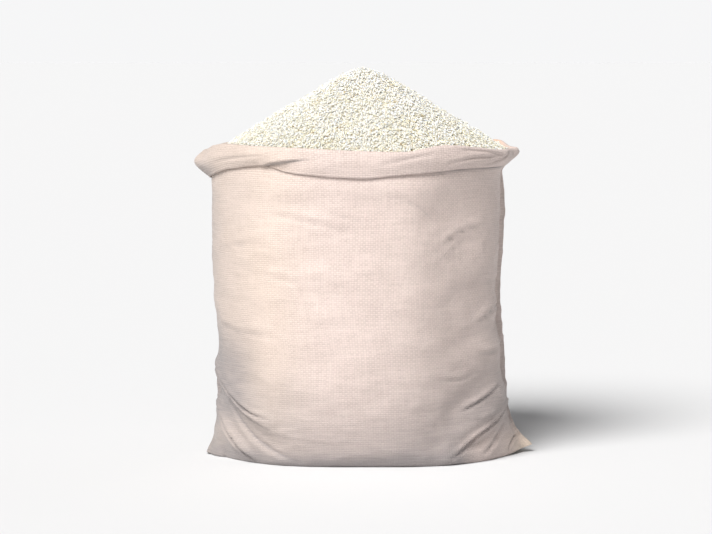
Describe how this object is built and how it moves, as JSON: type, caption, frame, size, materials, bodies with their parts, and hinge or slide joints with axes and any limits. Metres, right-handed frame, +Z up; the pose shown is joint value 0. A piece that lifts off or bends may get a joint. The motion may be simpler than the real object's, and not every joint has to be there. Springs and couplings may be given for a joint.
{
  "type": "open rice sack",
  "caption": "Open woven sack of rice standing on its base, its mouth turned down as a cuff round a heap of white grain.",
  "frame": {"origin": "on the floor under the middle of the sack's outline", "axes": "+Z up, -Y the front face, +X to the right seen from the front, with the flat bag's side creases and bottom corners along X"},
  "size_m": [0.4191, 0.3091, 0.485],
  "materials": {
    "woven_cloth": "matte woven tape with a slight sheen, pale cream pink",
    "rice_grain": "dry polished white rice, slightly translucent"
  },
  "bodies": {
    "root": {"sack": "woven_cloth", "rice": "rice_grain"}
  },
  "joints": []
}
